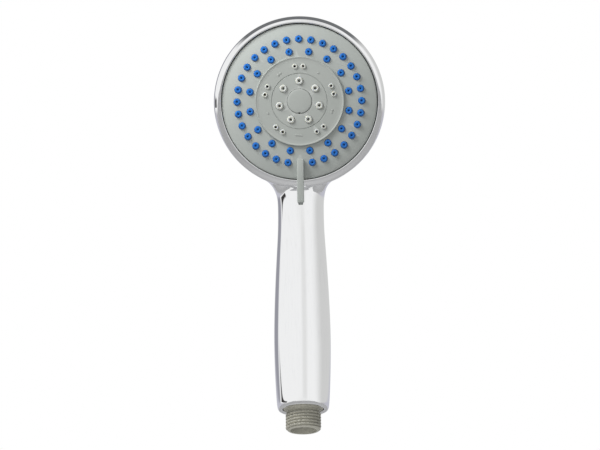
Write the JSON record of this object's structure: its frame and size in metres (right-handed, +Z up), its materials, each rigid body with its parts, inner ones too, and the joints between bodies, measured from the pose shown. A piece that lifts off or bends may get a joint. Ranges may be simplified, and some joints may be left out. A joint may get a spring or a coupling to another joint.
{
  "type": "handheld shower head",
  "caption": "Round handheld shower head on a curved tapering handle, with a turning nozzle face, a thumb lever and a threaded hose inlet.",
  "frame": {"origin": "centre of the hose thread's end face, at the lower end of the handle", "axes": "+Z up along the lower handle and the hose thread, the spray face looks towards -Y and down, +X to the right of someone who looks at the face"},
  "size_m": [0.104, 0.0765, 0.245],
  "materials": {
    "chrome_shell": "polished",
    "connector_plastic": "satin",
    "face_plastic": "satin",
    "disc_plastic": "satin",
    "nozzle_silicone": "satin",
    "jet_silicone": "satin",
    "inner_plastic": "satin",
    "turbine_plastic": "satin",
    "seal_rubber": "matte",
    "screw_steel": "satin",
    "strainer_steel": "satin",
    "spring_steel": "satin",
    "insert_brass": "satin"
  },
  "bodies": {
    "body": {"body_shell": "chrome_shell", "inlet_connector": "connector_plastic", "connector_o_ring": "seal_rubber", "inlet_screen": "strainer_steel", "flow_restrictor": "inner_plastic", "restrictor_o_ring": "seal_rubber", "waterway_tube": "inner_plastic", "tube_lower_o_ring": "seal_rubber", "tube_upper_o_ring": "seal_rubber", "manifold": "inner_plastic", "manifold_screws": "screw_steel", "pivot_insert": "insert_brass", "centre_washer": "screw_steel", "centre_screw": "screw_steel", "port_spring": "spring_steel", "detent_spring": "spring_steel"},
    "selector": {"distributor": "inner_plastic", "chamber_plate": "inner_plastic", "swirl_plate": "inner_plastic", "nozzle_mat": "nozzle_silicone", "jet_insert": "jet_silicone", "face_plate": "face_plastic", "selector_lever": "face_plastic", "centre_disc": "disc_plastic", "centre_cap": "disc_plastic"},
    "turbine": {"massage_turbine": "turbine_plastic"},
    "seal": {"port_seal": "seal_rubber"},
    "plunger": {"detent_plunger": "inner_plastic"}
  },
  "joints": [
    {"name": "selector_turn", "type": "hinge", "parent": "body", "child": "selector", "pos_m": [0, -0.04256, 0.1934], "axis": [0, -0.9367, -0.3502], "range_deg": [-45, 45]},
    {"name": "turbine_spin", "type": "hinge", "parent": "selector", "child": "turbine", "pos_m": [0, -0.03694, 0.1955], "axis": [0, -0.9367, -0.3502], "continuous": true},
    {"name": "seal_slide", "type": "slide", "parent": "body", "child": "seal", "axis": [0, -0.9367, -0.3502], "range_m": [-0.0006, 0], "stiffness_N_per_m": 400, "springref_m": 0.001, "deforming": ["port_spring"]},
    {"name": "detent_slide", "type": "slide", "parent": "body", "child": "plunger", "axis": [0, -0.9367, -0.3502], "range_m": [0, 0.0005], "stiffness_N_per_m": 300, "deforming": ["detent_spring"]}
  ]
}
